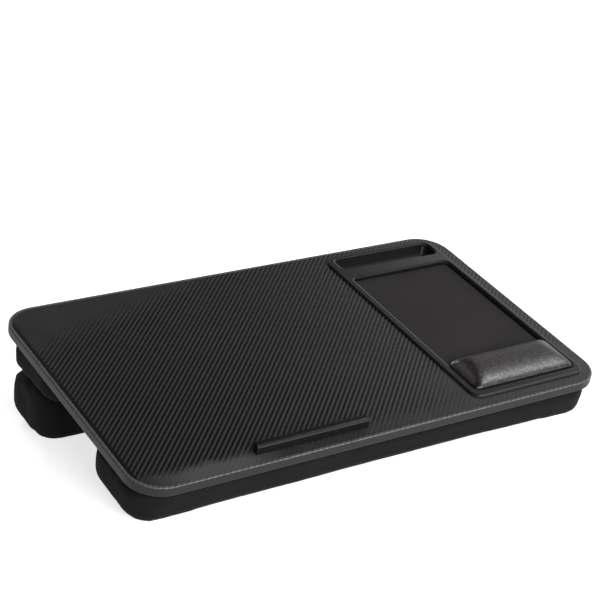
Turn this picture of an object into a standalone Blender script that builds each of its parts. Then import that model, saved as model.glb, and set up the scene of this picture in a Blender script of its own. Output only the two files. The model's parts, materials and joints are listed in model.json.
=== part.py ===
"""Lap desk with a set-in tray, two bolster cushions and a fold-down booster cushion.

Metres, +Z up. The desk is modelled in its own board frame: the origin at the centre of the
board's top face, x to the right, y to the rear and z along the board's normal. One empty
then tilts the whole desk and stands it on the ground, as it rests on its cushions' edges.
"""
import math

import bmesh
import bpy
from mathutils import Matrix, Vector

# Clearances between neighbouring pieces
GAP = 0.0003
CUT_OVERRUN = 0.002
FIT_CLEARANCE = 0.0005
SCREW_CLEARANCE = 0.0002

# Board
BOARD_WIDTH = 0.537
BOARD_DEPTH = 0.308
BOARD_THICKNESS = 0.0098
BOARD_CORNER_RADIUS = 0.034
LAMINATE_THICKNESS = 0.0008
BASE_PANEL_THICKNESS = 0.0020
BAND_THICKNESS = 0.0034
BAND_TOP_ROUND = 0.0014
BAND_BOTTOM_ROUND = 0.0015
UNDER_FABRIC_THICKNESS = 0.0008
UNDER_FABRIC_INSET = 0.0050

# Tray with mouse pad recess, wrist rest pocket and a trough at the rear
TRAY_WIDTH = 0.1446
TRAY_RIGHT_MARGIN = 0.0149
TRAY_REAR_MARGIN = 0.0130
TRAY_FRONT_MARGIN = 0.0150
TRAY_CORNER_RADIUS = 0.0120
TRAY_LIP_HEIGHT = 0.0022
TRAY_LIP_ROUND = 0.0014
TRAY_FLANGE = 0.0024
TRAY_LEFT_BORDER = 0.0090
TRAY_RIGHT_BORDER = 0.0061
TRAY_FRONT_BORDER = 0.0105
TRAY_FLOOR_THICKNESS = 0.0016
RECESS_DEPTH = 0.0048
RECESS_CORNER_RADIUS = 0.0065
MOUTH_FLARE = 0.0020
BRIDGE_WIDTH = 0.0176
SLOT_LENGTH = 0.1280
SLOT_WIDTH = 0.0232
SLOT_REAR_BORDER = 0.0044
SLOT_FLOOR_THICKNESS = 0.0012
SLOT_END_RADIUS = 0.0065
RIB_THICKNESS = 0.0020
RIB_CORNER_RADIUS = 0.0030
RIB_COLUMNS = 2
RIB_ROWS = 4

# Mouse pad
PAD_THICKNESS = 0.0020

# Wrist rest: a thin base, a gel core and a soft cover
WRIST_DEPTH = 0.0500
WRIST_CROWN_HEIGHT = 0.0116
WRIST_EDGE_HEIGHT = 0.0022
WRIST_CREST_SHIFT = 0.0075
WRIST_BASE_THICKNESS = 0.0012
WRIST_COVER_THICKNESS = 0.0010
WRIST_RIDGE_HALF_WIDTH = 0.0012
WRIST_END_SHARE = 0.80
WRIST_STRAIGHT_SHARE = 0.6
WRIST_ROUND_SHARE = 0.15

# Stop bar that holds back what lies on the board
BAR_LENGTH = 0.1240
BAR_DEPTH = 0.0080
BAR_HEIGHT = 0.0100
BAR_LEFT_MARGIN = 0.1240
BAR_FRONT_MARGIN = 0.0140
BAR_TOP_ROUND = 0.0026
BAR_EDGE_ROUND = 0.0008
BAR_POST_SPACING = 0.0840
BAR_POST_RADIUS = 0.0032
BAR_POST_DEPTH = 0.0062

# Countersunk screws
SCREW_SHANK_RADIUS = 0.0013
SCREW_HEAD_RADIUS = 0.0028
SCREW_HEAD_HEIGHT = 0.0015
SCREW_LENGTH = 0.0078
SCREW_DRIVE_RADIUS = 0.0010
SCREW_DRIVE_DEPTH = 0.0007
SCREW_DRIVE_SIDES = 6

# Cushions
CUSHION_SIDE_MARGIN = 0.0040
CUSHION_CORNER_RADIUS = 0.0250
CUSHION_BARREL = 0.0010
CUSHION_SIDE_DRAW = 0.0014
CUSHION_CROWN = 0.0024
CUSHION_CROWN_CORNER = 0.0060
FABRIC_THICKNESS = 0.0014
GROUND_ROUND = 0.0070
GROUND_FLAT_DEPTH = 0.0005
FRONT_CUSHION_MARGIN = 0.0108
FRONT_CUSHION_DEPTH = 0.0982
FRONT_CUSHION_DROP = 0.0465
FRONT_CUSHION_TOP_ROUND = 0.0030
REAR_CUSHION_MARGIN = 0.0200
REAR_CUSHION_DEPTH = 0.1020
REAR_CUSHION_DROP = 0.0360
REAR_CUSHION_TOP_ROUND = 0.0030
REAR_CUSHION_BOTTOM_ROUND = 0.0050
BOOSTER_SETBACK = 0.0030
BOOSTER_DEPTH = 0.0850
BOOSTER_HEIGHT = 0.0500
BOOSTER_TOP_ROUND = 0.0055

# Hook and loop closure, and the fabric hinge along the front crease
STRIP_THICKNESS = 0.0008
STRIP_LENGTH = 0.0600
STRIP_WIDTH = 0.0250
STRIP_CORNER_RADIUS = 0.0030
STRIP_END_MARGIN = 0.0845
STRIP_REAR_INSET = 0.0140
TAPE_END_MARGIN = 0.0545
TAPE_LEAF = 0.0140
TAPE_THICKNESS = 0.0007
HINGE_SETBACK = 0.0002

# Steps and shares that make the curves
BOARD_CORNER_STEPS = 10
BAND_ROUND_STEPS = 4
TRAY_CORNER_STEPS = 5
PILLOW_CORNER_STEPS = 3
PILLOW_RISE_STEPS = 6
CUSHION_CORNER_STEPS = 5
CUSHION_LONG_STEPS = 6
CUSHION_SHORT_STEPS = 3
TOP_ROUND_STEPS = 2
BOTTOM_ROUND_STEPS = 4
SMALL_ROUND_STEPS = 3
HOLE_SIDES = 16
CROWN_RING_SHARES = (0.3, 0.6, 0.88)
HALF = 1 / 2
QUARTER_TURN = math.pi / 2

# Heights in the board frame that follow from the sizes above
LAMINATE_BOTTOM = -LAMINATE_THICKNESS
CORE_TOP = LAMINATE_BOTTOM - GAP
PANEL_BOTTOM = -BOARD_THICKNESS
PANEL_TOP = PANEL_BOTTOM + BASE_PANEL_THICKNESS
CORE_BOTTOM = PANEL_TOP + GAP
BAND_INSET = BAND_THICKNESS + GAP
UNDER_FABRIC_TOP = PANEL_BOTTOM - GAP
UNDER_FABRIC_BOTTOM = UNDER_FABRIC_TOP - UNDER_FABRIC_THICKNESS
CUSHION_TOP = UNDER_FABRIC_BOTTOM - GAP
SCREW_TIP = PANEL_BOTTOM + SCREW_LENGTH

# Places of the tray and what sits in it
TRAY_LENGTH = BOARD_DEPTH - TRAY_FRONT_MARGIN - TRAY_REAR_MARGIN
TRAY_X = BOARD_WIDTH / 2 - TRAY_RIGHT_MARGIN - TRAY_WIDTH / 2
TRAY_Y = BOARD_DEPTH / 2 - TRAY_REAR_MARGIN - TRAY_LENGTH / 2
TRAY_FRONT_Y = TRAY_Y - TRAY_LENGTH / 2
TRAY_BOTTOM = PANEL_TOP + GAP
RECESS_WIDTH = TRAY_WIDTH - TRAY_LEFT_BORDER - TRAY_RIGHT_BORDER
RECESS_X = TRAY_X + (TRAY_LEFT_BORDER - TRAY_RIGHT_BORDER) / 2
SLOT_X = RECESS_X + (RECESS_WIDTH - SLOT_LENGTH) / 2
SLOT_REAR_Y = TRAY_Y + TRAY_LENGTH / 2 - SLOT_REAR_BORDER
SLOT_FRONT_Y = SLOT_REAR_Y - SLOT_WIDTH
SLOT_Y = (SLOT_FRONT_Y + SLOT_REAR_Y) / 2
RECESS_FRONT_Y = TRAY_FRONT_Y + TRAY_FRONT_BORDER
RECESS_REAR_Y = SLOT_FRONT_Y - BRIDGE_WIDTH
RECESS_LENGTH = RECESS_REAR_Y - RECESS_FRONT_Y
RECESS_Y = (RECESS_FRONT_Y + RECESS_REAR_Y) / 2
RECESS_FLOOR = -RECESS_DEPTH
SLOT_FLOOR = TRAY_BOTTOM + SLOT_FLOOR_THICKNESS
BRIDGE_Y = (RECESS_REAR_Y + SLOT_FRONT_Y) / 2
PILLOW_WIDTH = RECESS_WIDTH - 2 * FIT_CLEARANCE
PILLOW_FRONT_Y = RECESS_FRONT_Y + FIT_CLEARANCE
PILLOW_Y = PILLOW_FRONT_Y + WRIST_DEPTH / 2
WRIST_BASE_BOTTOM = RECESS_FLOOR + GAP
WRIST_COVER_BOTTOM = WRIST_BASE_BOTTOM + WRIST_BASE_THICKNESS + GAP
PAD_FRONT_Y = PILLOW_FRONT_Y + WRIST_DEPTH + FIT_CLEARANCE
PAD_REAR_Y = RECESS_REAR_Y - FIT_CLEARANCE

# Places of the stop bar, the cushions and the hinge
BAR_CENTRE_X = -BOARD_WIDTH / 2 + BAR_LEFT_MARGIN + BAR_LENGTH / 2
BAR_Y = -BOARD_DEPTH / 2 + BAR_FRONT_MARGIN + BAR_DEPTH / 2
BAR_POST_X = (BAR_CENTRE_X - BAR_POST_SPACING / 2, BAR_CENTRE_X + BAR_POST_SPACING / 2)
CUSHION_WIDTH = BOARD_WIDTH - 2 * CUSHION_SIDE_MARGIN
FRONT_CUSHION_FRONT_Y = -BOARD_DEPTH / 2 + FRONT_CUSHION_MARGIN
FRONT_CUSHION_Y = FRONT_CUSHION_FRONT_Y + FRONT_CUSHION_DEPTH / 2
REAR_CUSHION_REAR_Y = BOARD_DEPTH / 2 - REAR_CUSHION_MARGIN
REAR_CUSHION_Y = REAR_CUSHION_REAR_Y - REAR_CUSHION_DEPTH / 2
BOOSTER_TOP = -REAR_CUSHION_DROP - 2 * STRIP_THICKNESS - 3 * GAP
BOOSTER_REAR_Y = REAR_CUSHION_REAR_Y - BOOSTER_SETBACK
BOOSTER_FRONT_Y = BOOSTER_REAR_Y - BOOSTER_DEPTH
BOOSTER_Y = (BOOSTER_FRONT_Y + BOOSTER_REAR_Y) / 2
STRIP_X = CUSHION_WIDTH / 2 - STRIP_END_MARGIN - STRIP_LENGTH / 2
TAPE_LENGTH = CUSHION_WIDTH - 2 * TAPE_END_MARGIN
HINGE_POINT = Vector((0, BOOSTER_FRONT_Y + HINGE_SETBACK, (BOOSTER_TOP - REAR_CUSHION_DROP) / 2))

# The desk stands on two round bottom edges, which set how far it tilts
GROUND_INSET = CUSHION_BARREL + GROUND_ROUND
FRONT_EDGE_CENTRE = Vector((0, FRONT_CUSHION_FRONT_Y + GROUND_INSET, GROUND_ROUND - FRONT_CUSHION_DROP))
REAR_EDGE_CENTRE = Vector((0, BOOSTER_FRONT_Y + GROUND_INSET, GROUND_ROUND + BOOSTER_TOP - BOOSTER_HEIGHT))
EDGE_TO_EDGE = REAR_EDGE_CENTRE - FRONT_EDGE_CENTRE
TILT = math.atan2(-EDGE_TO_EDGE.z, EDGE_TO_EDGE.y)
GROUND_UP = Vector((0, math.sin(TILT), math.cos(TILT)))
GROUND_REAR = Vector((0, math.cos(TILT), -math.sin(TILT)))
GROUND_POINT = FRONT_EDGE_CENTRE - GROUND_UP * (GROUND_ROUND - GROUND_FLAT_DEPTH)


# Helpers

def clear_scene():
    for item in list(bpy.data.objects):
        bpy.data.objects.remove(item, do_unlink=True)


def make_material(name, colour, roughness, metallic=0.0):
    material = bpy.data.materials.new(name)
    material.use_nodes = True
    shader = material.node_tree.nodes["Principled BSDF"]
    shader.inputs["Base Color"].default_value = (*colour, 1.0)
    shader.inputs["Roughness"].default_value = roughness
    shader.inputs["Metallic"].default_value = metallic
    return material


def make_empty(name, location, parent=None):
    empty = bpy.data.objects.new(name, None)
    bpy.context.scene.collection.objects.link(empty)
    empty.location = location
    empty.parent = parent
    return empty


def make_object(name, bm, material, parent, location=(0, 0, 0), smooth_angle=math.radians(40)):
    bmesh.ops.recalc_face_normals(bm, faces=bm.faces)
    mesh = bpy.data.meshes.new(name)
    bm.to_mesh(mesh)
    bm.free()
    mesh.shade_smooth()
    mesh.set_sharp_from_angle(angle=smooth_angle)
    if material is not None:
        mesh.materials.append(material)
    piece = bpy.data.objects.new(name, mesh)
    bpy.context.scene.collection.objects.link(piece)
    piece.parent = parent
    piece.location = location
    return piece


def apply_shape(piece, name, bm, operation="DIFFERENCE"):
    """Cuts a shape, given in the piece's own coordinates, from the piece, or joins it on."""
    tool = make_object(name, bm, None, piece)
    tool.hide_render = True
    tool.display_type = "WIRE"
    modifier = piece.modifiers.new(name, "BOOLEAN")
    modifier.operation = operation
    modifier.solver = "EXACT"
    modifier.object = tool


def rounded_outline(width, depth, radius, inset=0.0, corner_steps=TRAY_CORNER_STEPS,
                    long_steps=1, short_steps=1, draw=0.0, least_radius=0.0):
    """Points round a rectangle with round corners; draw pulls the middles of its sides in."""
    half_width = width / 2 - inset
    half_depth = depth / 2 - inset
    r = min(max(radius - inset, least_radius), half_width, half_depth)
    x, y = half_width - r, half_depth - r
    centres = ((x, y), (-x, y), (-x, -y), (x, -y))
    points = []
    for quarter, centre in enumerate(centres):
        for step in range(corner_steps + 1):
            angle = QUARTER_TURN * (quarter + step / corner_steps)
            points.append(Vector((math.cos(angle), math.sin(angle))) * r + Vector(centre))
        angle = QUARTER_TURN * (quarter + 1)
        outward = Vector((math.cos(angle), math.sin(angle)))
        start = points[-1]
        end = outward * r + Vector(centres[(quarter + 1) % len(centres)])
        steps = short_steps if quarter % 2 else long_steps
        for step in range(1, steps):
            share = step / steps
            points.append(start.lerp(end, share) - outward * draw * math.sin(math.pi * share))
    return points


def circle(radius, sides=HOLE_SIDES):
    turns = [2 * math.pi * i / sides for i in range(sides)]
    return [Vector((math.cos(turn), math.sin(turn))) * radius for turn in turns]


def ring_at(points, z, offset=(0, 0)):
    return [(x + offset[0], y + offset[1], z) for x, y in points]


def loft(bm, rings, closed=False, triangles=False):
    """Skins rings of equally many points, and caps both ends unless the skin closes on itself."""
    loops = [[bm.verts.new(point) for point in ring] for ring in rings]
    pairs = list(zip(loops, loops[1:]))
    if closed:
        pairs.append((loops[-1], loops[0]))
    else:
        bm.faces.new(loops[0])
        bm.faces.new(loops[-1])
    count = len(loops[0])
    for low, high in pairs:
        for i in range(count):
            j = (i + 1) % count
            if triangles:
                bm.faces.new((low[i], low[j], high[j]))
                bm.faces.new((low[i], high[j], high[i]))
            else:
                bm.faces.new((low[i], low[j], high[j], high[i]))


def add_prism(bm, points, bottom, top, offset=(0, 0)):
    loft(bm, [ring_at(points, bottom, offset), ring_at(points, top, offset)])


def arc_profile(inset, z, radius, start, end, steps):
    """(inset, z) pairs along an arc about a centre: angle 0 is outwards and a quarter is up."""
    angles = [start + (end - start) * step / steps for step in range(steps + 1)]
    return [(inset - radius * math.cos(angle), z + radius * math.sin(angle)) for angle in angles]


# Board

def board_outline(inset):
    return rounded_outline(BOARD_WIDTH, BOARD_DEPTH, BOARD_CORNER_RADIUS, inset, BOARD_CORNER_STEPS)


def tray_screw_places():
    left = RECESS_X - RECESS_WIDTH / 2 + TRAY_CORNER_RADIUS
    right = RECESS_X + RECESS_WIDTH / 2 - TRAY_CORNER_RADIUS
    front = (RECESS_FRONT_Y + TRAY_FRONT_Y + TRAY_FLANGE) / 2
    return [(left, front), (right, front), (left, BRIDGE_Y), (right, BRIDGE_Y)]


def bar_screw_places():
    return [(x, BAR_Y) for x in BAR_POST_X]


def band_profile():
    """(inset, z) round the band's section, with its two outer edges rounded."""
    profile = [(BAND_THICKNESS, PANEL_BOTTOM)]
    profile += arc_profile(BAND_BOTTOM_ROUND, PANEL_BOTTOM + BAND_BOTTOM_ROUND, BAND_BOTTOM_ROUND,
                           -QUARTER_TURN, 0, SMALL_ROUND_STEPS)
    profile += arc_profile(BAND_TOP_ROUND, -BAND_TOP_ROUND, BAND_TOP_ROUND, 0, QUARTER_TURN,
                           BAND_ROUND_STEPS)
    profile.append((BAND_THICKNESS, 0))
    return profile


def build_edge_band(parent, material):
    bm = bmesh.new()
    loft(bm, [ring_at(board_outline(inset), z) for inset, z in band_profile()], closed=True)
    return make_object("edge_band", bm, material, parent)


def board_openings(bottom, top):
    """Cutter for the tray's opening and the stop bar's two post holes."""
    bm = bmesh.new()
    opening = rounded_outline(TRAY_WIDTH, TRAY_LENGTH, TRAY_CORNER_RADIUS, TRAY_FLANGE - FIT_CLEARANCE)
    add_prism(bm, opening, bottom - CUT_OVERRUN, top + CUT_OVERRUN, (TRAY_X, TRAY_Y))
    for place in bar_screw_places():
        add_prism(bm, circle(BAR_POST_RADIUS + FIT_CLEARANCE), bottom - CUT_OVERRUN,
                  top + CUT_OVERRUN, place)
    return bm


def build_board_layer(name, bottom, top, parent, material):
    bm = bmesh.new()
    add_prism(bm, board_outline(BAND_INSET), bottom, top)
    layer = make_object(name, bm, material, parent)
    apply_shape(layer, name + "_openings", board_openings(bottom, top))
    return layer


def screw_profile(clearance=0.0):
    """(radius, height) pairs of a countersunk head and shank, measured from the head's face."""
    head = SCREW_HEAD_RADIUS + clearance
    shank = SCREW_SHANK_RADIUS + clearance
    return [(head, 0), (head, SCREW_CLEARANCE + clearance), (shank, SCREW_HEAD_HEIGHT + clearance)]


def build_base_panel(parent, material):
    """A thin hardboard panel that closes the board from below and takes the screw heads."""
    bm = bmesh.new()
    add_prism(bm, board_outline(BAND_INSET), PANEL_BOTTOM, PANEL_TOP)
    panel = make_object("base_panel", bm, material, parent)
    cutter = bmesh.new()
    profile = screw_profile(SCREW_CLEARANCE)
    profile[0] = (profile[0][0], -CUT_OVERRUN)
    profile.append((profile[-1][0], BASE_PANEL_THICKNESS + CUT_OVERRUN))
    for place in tray_screw_places() + bar_screw_places():
        loft(cutter, [ring_at(circle(radius), PANEL_BOTTOM + height, place) for radius, height in profile])
    apply_shape(panel, "base_panel_screw_holes", cutter)
    return panel


def build_underside_fabric(parent, material):
    bm = bmesh.new()
    add_prism(bm, board_outline(UNDER_FABRIC_INSET), UNDER_FABRIC_BOTTOM, UNDER_FABRIC_TOP)
    return make_object("underside_fabric", bm, material, parent)


def build_screw(name, place, parent, material):
    """A countersunk screw whose head is flush with the base panel's underside."""
    profile = screw_profile()
    profile.append((SCREW_SHANK_RADIUS, SCREW_LENGTH - SCREW_SHANK_RADIUS))
    profile.append((SCREW_SHANK_RADIUS / 2, SCREW_LENGTH))
    bm = bmesh.new()
    loft(bm, [ring_at(circle(radius), height) for radius, height in profile])
    screw = make_object(name, bm, material, parent, (*place, PANEL_BOTTOM))
    drive = bmesh.new()
    add_prism(drive, circle(SCREW_DRIVE_RADIUS, SCREW_DRIVE_SIDES), -CUT_OVERRUN, SCREW_DRIVE_DEPTH)
    apply_shape(screw, name + "_drive", drive)
    return screw


# Tray

def tray_outline(inset):
    return rounded_outline(TRAY_WIDTH, TRAY_LENGTH, TRAY_CORNER_RADIUS, inset)


def build_tray_frame(parent, material):
    """One moulding: a lip that lies on the board, a body in its opening, and two hollows."""
    rings = [ring_at(tray_outline(TRAY_FLANGE), TRAY_BOTTOM), ring_at(tray_outline(TRAY_FLANGE), GAP),
             ring_at(tray_outline(0), GAP)]
    lip = arc_profile(TRAY_LIP_ROUND, TRAY_LIP_HEIGHT - TRAY_LIP_ROUND, TRAY_LIP_ROUND, 0,
                      QUARTER_TURN, SMALL_ROUND_STEPS)
    rings += [ring_at(tray_outline(inset), z) for inset, z in lip]
    bm = bmesh.new()
    loft(bm, rings)
    tray = make_object("tray_frame", bm, material, parent, (TRAY_X, TRAY_Y, 0))
    apply_shape(tray, "tray_recess", hollow(RECESS_WIDTH, RECESS_LENGTH, RECESS_CORNER_RADIUS,
                                            RECESS_FLOOR, RECESS_X, RECESS_Y))
    apply_shape(tray, "tray_slot", hollow(SLOT_LENGTH, SLOT_WIDTH, SLOT_END_RADIUS, SLOT_FLOOR,
                                          SLOT_X, SLOT_Y))
    apply_shape(tray, "tray_underside", underside_pockets())
    return tray


def hollow(width, depth, radius, floor, x, y):
    """Cutter for a hollow in the tray whose mouth opens a little wider with a soft edge."""
    flare = arc_profile(-MOUTH_FLARE, TRAY_LIP_HEIGHT - MOUTH_FLARE, MOUTH_FLARE, math.pi,
                        QUARTER_TURN, SMALL_ROUND_STEPS)
    profile = [(0, floor)] + flare + [(-MOUTH_FLARE, TRAY_LIP_HEIGHT + CUT_OVERRUN)]
    bm = bmesh.new()
    loft(bm, [ring_at(rounded_outline(width, depth, radius, inset), z, (x - TRAY_X, y - TRAY_Y))
              for inset, z in profile])
    return bm


def underside_pockets():
    """Cutter for the pockets between the ribs under the recess, and the screws' pilot holes."""
    bm = bmesh.new()
    pocket_top = RECESS_FLOOR - TRAY_FLOOR_THICKNESS
    cell_width = RECESS_WIDTH / RIB_COLUMNS
    cell_length = RECESS_LENGTH / RIB_ROWS
    pocket = rounded_outline(cell_width - RIB_THICKNESS, cell_length - RIB_THICKNESS, RIB_CORNER_RADIUS,
                             corner_steps=2)
    for column in range(RIB_COLUMNS):
        for row in range(RIB_ROWS):
            x = RECESS_X - RECESS_WIDTH / 2 + cell_width * (column + HALF)
            y = RECESS_FRONT_Y + cell_length * (row + HALF)
            add_prism(bm, pocket, TRAY_BOTTOM - CUT_OVERRUN, pocket_top, (x - TRAY_X, y - TRAY_Y))
    for x, y in tray_screw_places():
        add_prism(bm, circle(SCREW_SHANK_RADIUS + SCREW_CLEARANCE), TRAY_BOTTOM - CUT_OVERRUN,
                  SCREW_TIP + SCREW_CLEARANCE, (x - TRAY_X, y - TRAY_Y))
    return bm


def build_mouse_pad(parent, material):
    """A flat pad whose rear corners follow the recess, with a straight front edge."""
    length = PAD_REAR_Y - PAD_FRONT_Y
    mirrored = rounded_outline(PILLOW_WIDTH, 2 * length, RECESS_CORNER_RADIUS - FIT_CLEARANCE)
    points = [point for point in mirrored if point.y > 0]
    points += [Vector((-PILLOW_WIDTH / 2, 0)), Vector((PILLOW_WIDTH / 2, 0))]
    bm = bmesh.new()
    add_prism(bm, points, 0, PAD_THICKNESS)
    return make_object("mouse_pad", bm, material, parent, (RECESS_X, PAD_FRONT_Y, RECESS_FLOOR + GAP))


# Wrist rest

def pillow_rings(shrink):
    """Rings from the wrist rest's foot, over its round rear and front and its sloping ends, to its ridge."""
    crown = WRIST_CROWN_HEIGHT - WRIST_COVER_BOTTOM - shrink
    edge = WRIST_EDGE_HEIGHT - WRIST_COVER_BOTTOM - shrink
    run = WRIST_DEPTH / 2 - shrink - WRIST_RIDGE_HALF_WIDTH
    heights = [(0, 0, 0)]
    for step in range(PILLOW_RISE_STEPS + 1):
        angle = QUARTER_TURN * step / PILLOW_RISE_STEPS
        heights.append((1 - math.cos(angle), math.sin(angle), edge + (crown - edge) * math.sin(angle)))
    rings = []
    for share, rise, z in heights:
        climb = run * share
        slope = run * (share + (rise - share) * WRIST_STRAIGHT_SHARE) * WRIST_END_SHARE
        width = PILLOW_WIDTH - 2 * shrink - 2 * slope
        depth = WRIST_DEPTH - 2 * shrink - 2 * climb
        radius = RECESS_CORNER_RADIUS + climb * WRIST_ROUND_SHARE
        points = rounded_outline(width, depth, radius, corner_steps=PILLOW_CORNER_STEPS)
        rings.append(ring_at(points, z, (0, WRIST_CREST_SHIFT * share)))
    return rings


def build_wrist_rest(parent, cover_material, gel_material, base_material):
    place = (RECESS_X, PILLOW_Y, WRIST_COVER_BOTTOM)
    edge = rounded_outline(PILLOW_WIDTH, WRIST_DEPTH, RECESS_CORNER_RADIUS, corner_steps=PILLOW_CORNER_STEPS)
    base = bmesh.new()
    add_prism(base, edge, 0, WRIST_BASE_THICKNESS)
    make_object("wrist_rest_base", base, base_material, parent, (RECESS_X, PILLOW_Y, WRIST_BASE_BOTTOM))
    cover = bmesh.new()
    loft(cover, list(reversed(pillow_rings(WRIST_COVER_THICKNESS))) + pillow_rings(0))
    make_object("wrist_rest_cover", cover, cover_material, parent, place)
    gel = bmesh.new()
    loft(gel, pillow_rings(WRIST_COVER_THICKNESS + GAP))
    make_object("wrist_rest_gel", gel, gel_material, parent, place)


# Stop bar

def bar_section(inset):
    """The bar's section in y and z, with a broad round at its top front."""
    front, rear, top = inset - BAR_DEPTH / 2, BAR_DEPTH / 2 - inset, BAR_HEIGHT - inset
    rounds = [(front + BAR_TOP_ROUND, BAR_TOP_ROUND, math.pi, QUARTER_TURN),
              (rear - BAR_EDGE_ROUND, BAR_EDGE_ROUND, QUARTER_TURN, 0)]
    points = [(front, GAP)]
    for centre, radius, start, end in rounds:
        for step in range(SMALL_ROUND_STEPS + 1):
            angle = start + (end - start) * step / SMALL_ROUND_STEPS
            points.append((centre + radius * math.cos(angle), top - radius + radius * math.sin(angle)))
    points.append((rear, GAP))
    return points


def build_stop_bar(parent, material):
    half = BAR_LENGTH / 2
    ends = [(half - BAR_EDGE_ROUND * (1 - math.cos(QUARTER_TURN * step / SMALL_ROUND_STEPS)),
             BAR_EDGE_ROUND * (1 - math.sin(QUARTER_TURN * step / SMALL_ROUND_STEPS)))
            for step in range(SMALL_ROUND_STEPS + 1)]
    stations = [(-x, inset) for x, inset in ends] + [(x, inset) for x, inset in reversed(ends)]
    bm = bmesh.new()
    loft(bm, [[(x, y, z) for y, z in bar_section(inset)] for x, inset in stations])
    bar = make_object("stop_bar", bm, material, parent, (BAR_CENTRE_X, BAR_Y, 0))
    posts = bmesh.new()
    pilots = bmesh.new()
    for x in BAR_POST_X:
        add_prism(posts, circle(BAR_POST_RADIUS), -BAR_POST_DEPTH, BAR_HEIGHT / 2, (x - BAR_CENTRE_X, 0))
        add_prism(pilots, circle(SCREW_SHANK_RADIUS + SCREW_CLEARANCE), -BAR_POST_DEPTH - CUT_OVERRUN,
                  SCREW_TIP + SCREW_CLEARANCE, (x - BAR_CENTRE_X, 0))
    apply_shape(bar, "stop_bar_posts", posts, "UNION")
    apply_shape(bar, "stop_bar_pilots", pilots)
    return bar


# Cushions

def cushion_profile(depth, height, top_round, bottom_round, crown, shrink=0.0):
    """(inset, z, draw) from a cushion's top rim, down its side and over its crowned bottom.

    z is 0 at the cushion's top. shrink moves the surface inwards, for the fabric's inner side.
    """
    floor = bottom_round - height
    inset = CUSHION_BARREL + top_round
    profile = [(*pair, 0) for pair in arc_profile(inset, -top_round, top_round - shrink, QUARTER_TURN,
                                                  0, TOP_ROUND_STEPS)]
    profile.append((shrink, (floor - top_round) / 2, CUSHION_SIDE_DRAW))
    inset = CUSHION_BARREL + bottom_round
    profile += [(*pair, 0) for pair in arc_profile(inset, floor, bottom_round - shrink, 0,
                                                   -QUARTER_TURN, BOTTOM_ROUND_STEPS)]
    if crown > 0:
        for share in CROWN_RING_SHARES:
            bulge = crown * math.sin(QUARTER_TURN * share)
            profile.append((inset + (depth / 2 - inset) * share, shrink - height - bulge, 0))
    return profile


def cushion_rings(profile, depth):
    rings = []
    for inset, z, draw in profile:
        points = rounded_outline(CUSHION_WIDTH, depth, CUSHION_CORNER_RADIUS, inset, CUSHION_CORNER_STEPS,
                                 CUSHION_LONG_STEPS, CUSHION_SHORT_STEPS, draw, CUSHION_CROWN_CORNER)
        rings.append(ring_at(points, z))
    return rings


def ground_cutter(origin):
    """Everything below the ground, in the coordinates of a piece whose origin is given."""
    reach = BOARD_DEPTH
    middle = GROUND_POINT + GROUND_REAR * (BOARD_DEPTH / 2) - origin
    corners = [middle - GROUND_REAR * reach, middle + GROUND_REAR * reach]
    corners += [corner - GROUND_UP * reach for corner in reversed(corners)]
    bm = bmesh.new()
    loft(bm, [[corner + Vector((x, 0, 0)) for corner in corners] for x in (-BOARD_WIDTH, BOARD_WIDTH)])
    return bm


def build_cushion(name, origin, depth, height, rounds, crown, parent, parent_origin, fabric, foam):
    """A foam block in a fabric cover: a skin open at the top and a panel sewn into its rim.

    The skin's inner side and the foam are cut into triangles alike, so their gap is even.
    """
    place = origin - parent_origin
    outer = cushion_profile(depth, height, *rounds, crown)
    inner = cushion_profile(depth, height, *rounds, crown, FABRIC_THICKNESS)
    filling = cushion_profile(depth, height, *rounds, crown, FABRIC_THICKNESS + GAP)
    bm = bmesh.new()
    loft(bm, list(reversed(cushion_rings(inner, depth))) + cushion_rings(outer, depth), triangles=True)
    cover = make_object(name + "_cover", bm, fabric, parent, place)
    bm = bmesh.new()
    loft(bm, list(reversed(cushion_rings(filling, depth))), triangles=True)
    make_object(name + "_foam", bm, foam, parent, place)
    bm = bmesh.new()
    rim = [(outer[0][0] + GAP, z, 0) for z in (0, -FABRIC_THICKNESS)]
    loft(bm, cushion_rings(rim, depth))
    make_object(name + "_top_panel", bm, fabric, parent, place)
    return cover


def build_strip(name, x, y, z, parent, material):
    points = rounded_outline(STRIP_LENGTH, STRIP_WIDTH, STRIP_CORNER_RADIUS, corner_steps=SMALL_ROUND_STEPS)
    bm = bmesh.new()
    add_prism(bm, points, 0, STRIP_THICKNESS)
    return make_object(name, bm, material, parent, (x, y, z))


def build_strips(desk, booster, hook, loop):
    """Hook strips under the rear cushion and the loop strips that they grip on the booster."""
    y = BOOSTER_REAR_Y - STRIP_REAR_INSET - STRIP_WIDTH / 2
    for side, x in (("left", -STRIP_X), ("right", STRIP_X)):
        build_strip("hook_strip_" + side, x, y, -REAR_CUSHION_DROP - GAP - STRIP_THICKNESS, desk, hook)
        build_strip("loop_strip_" + side, x, y - HINGE_POINT.y, BOOSTER_TOP + GAP - HINGE_POINT.z, booster,
                    loop)


def build_hinge_tape(parent, material):
    """A folded fabric tape: one leaf on each cushion and the fold on the hinge's axis."""
    outer = (-REAR_CUSHION_DROP - BOOSTER_TOP) / 2 - GAP
    points = []
    for radius, start, end in ((outer, QUARTER_TURN, 3 * QUARTER_TURN),
                               (outer - TAPE_THICKNESS, 3 * QUARTER_TURN, QUARTER_TURN)):
        arc = []
        for step in range(2 * SMALL_ROUND_STEPS + 1):
            angle = start + (end - start) * step / (2 * SMALL_ROUND_STEPS)
            arc.append((radius * math.cos(angle), radius * math.sin(angle)))
        points += [(TAPE_LEAF, arc[0][1])] + arc + [(TAPE_LEAF, arc[-1][1])]
    bm = bmesh.new()
    loft(bm, [[(x, y, z) for y, z in points] for x in (-TAPE_LENGTH / 2, TAPE_LENGTH / 2)])
    return make_object("hinge_tape", bm, material, parent, HINGE_POINT)


# Assembly

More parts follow.
